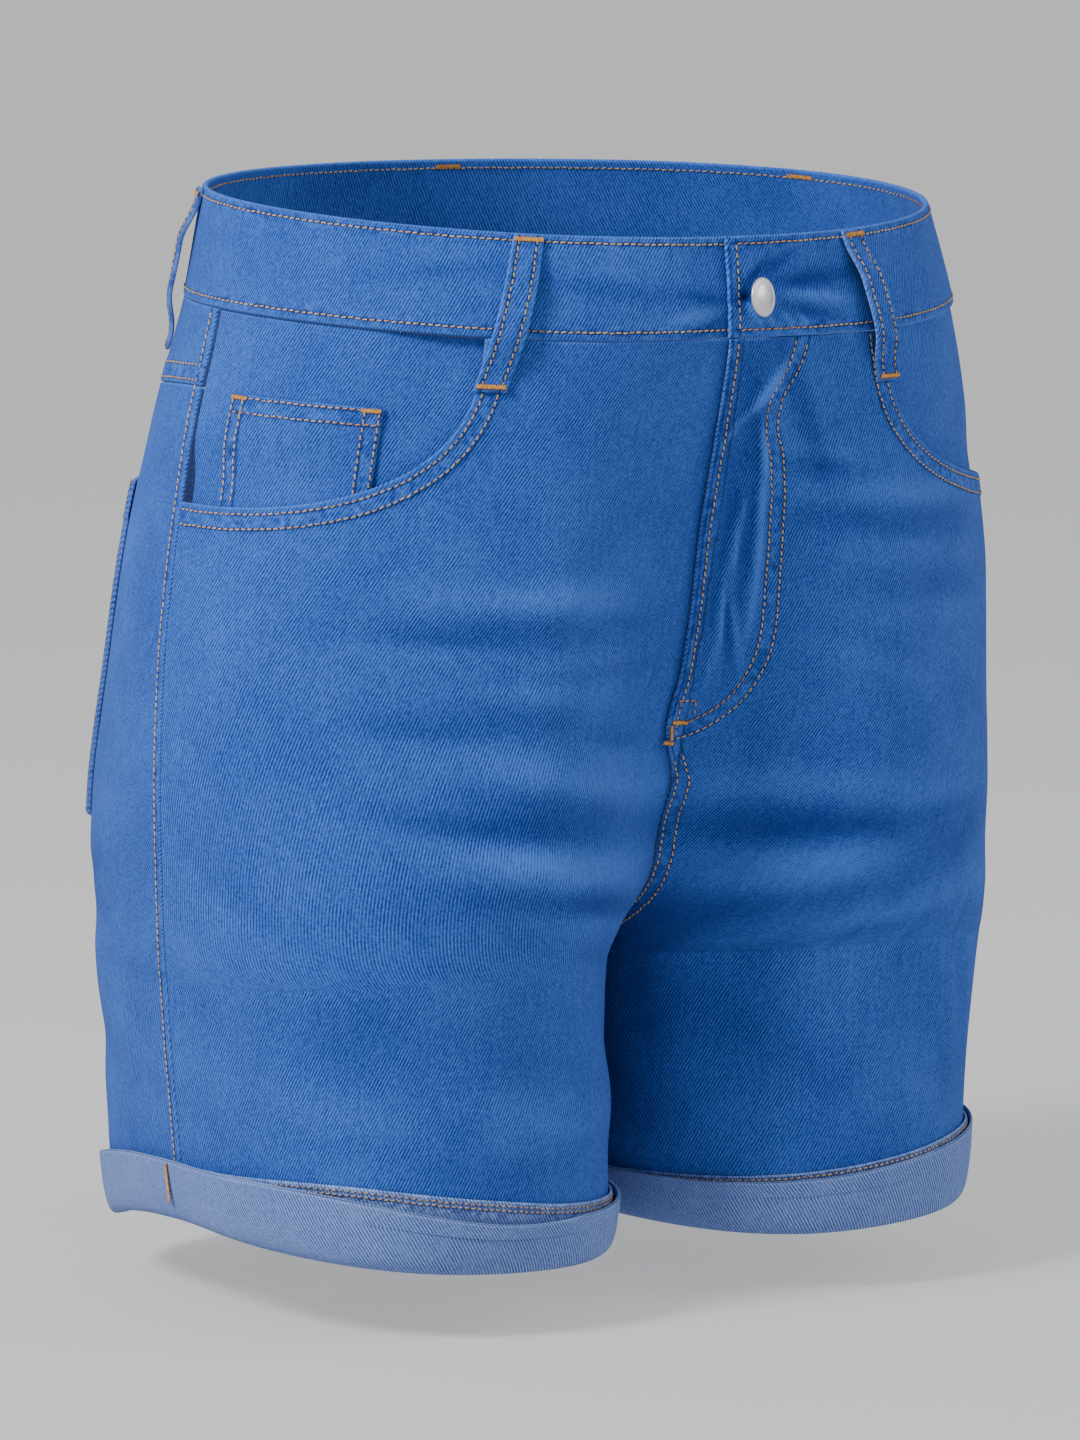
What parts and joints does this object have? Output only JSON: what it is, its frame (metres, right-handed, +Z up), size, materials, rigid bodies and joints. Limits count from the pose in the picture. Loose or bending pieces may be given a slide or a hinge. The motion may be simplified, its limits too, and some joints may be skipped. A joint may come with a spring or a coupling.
{
  "type": "denim shorts",
  "caption": "High-waisted five-pocket denim shorts with a buttoned waistband, zip fly, belt loops and turned-up cuffs, filled out and empty.",
  "frame": {"origin": "centre of the waist, half way down the waistband, where a wearer's waist holds the shorts up", "axes": "+Z up through the waist, -Y to the front, -X to the wearer's right"},
  "size_m": [0.3586, 0.2758, 0.4123],
  "materials": {
    "denim": "mid-blue cotton twill, matt",
    "denim_reverse": "lighter reverse face of the twill, matt",
    "pocketing": "plain off-white cotton, matt",
    "zip_tape": "dark blue woven tape, matt",
    "metal": "silver-white, satin"
  },
  "bodies": {
    "root": {"front_right": "denim", "front_left": "denim", "hip_facing_right": "denim", "hip_facing_left": "denim", "coin_pocket": "denim", "yoke_right": "denim", "yoke_left": "denim", "back_right": "denim", "back_left": "denim", "back_pocket_right": "denim", "back_pocket_left": "denim", "waistband": "denim", "belt_loop_front_right": "denim", "belt_loop_front_left": "denim", "belt_loop_back_right": "denim", "belt_loop_back_left": "denim", "belt_loop_centre_back": "denim", "cuff_right": "denim_reverse", "cuff_left": "denim_reverse", "pocket_bag_right": "pocketing", "pocket_bag_left": "pocketing", "zip_tape": "zip_tape", "zip_slider": "metal", "button": "metal"}
  },
  "joints": []
}
